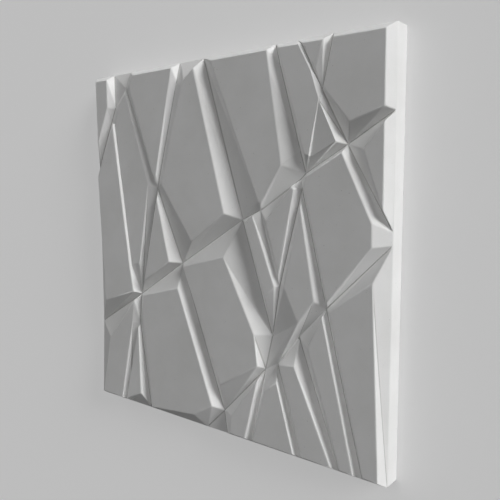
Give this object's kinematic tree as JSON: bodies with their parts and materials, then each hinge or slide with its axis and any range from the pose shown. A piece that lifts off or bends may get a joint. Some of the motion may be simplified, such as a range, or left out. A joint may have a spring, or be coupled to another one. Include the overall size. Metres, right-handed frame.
{
  "type": "wall panel tile",
  "caption": "Square cast wall tile with a relief of flat angular shards between deep V-shaped cracks, plain straight edges and a flat back for fixing to a wall.",
  "frame": {"origin": "centre of the flat back face", "axes": "+Z out of the wall, from the back to the relief; +X to the right and +Y up as the tile hangs in the picture"},
  "size_m": [0.5, 0.5, 0.0365],
  "materials": {
    "panel": "matt white cast gypsum plaster"
  },
  "bodies": {
    "root": {"wall_panel": "panel"}
  },
  "joints": []
}
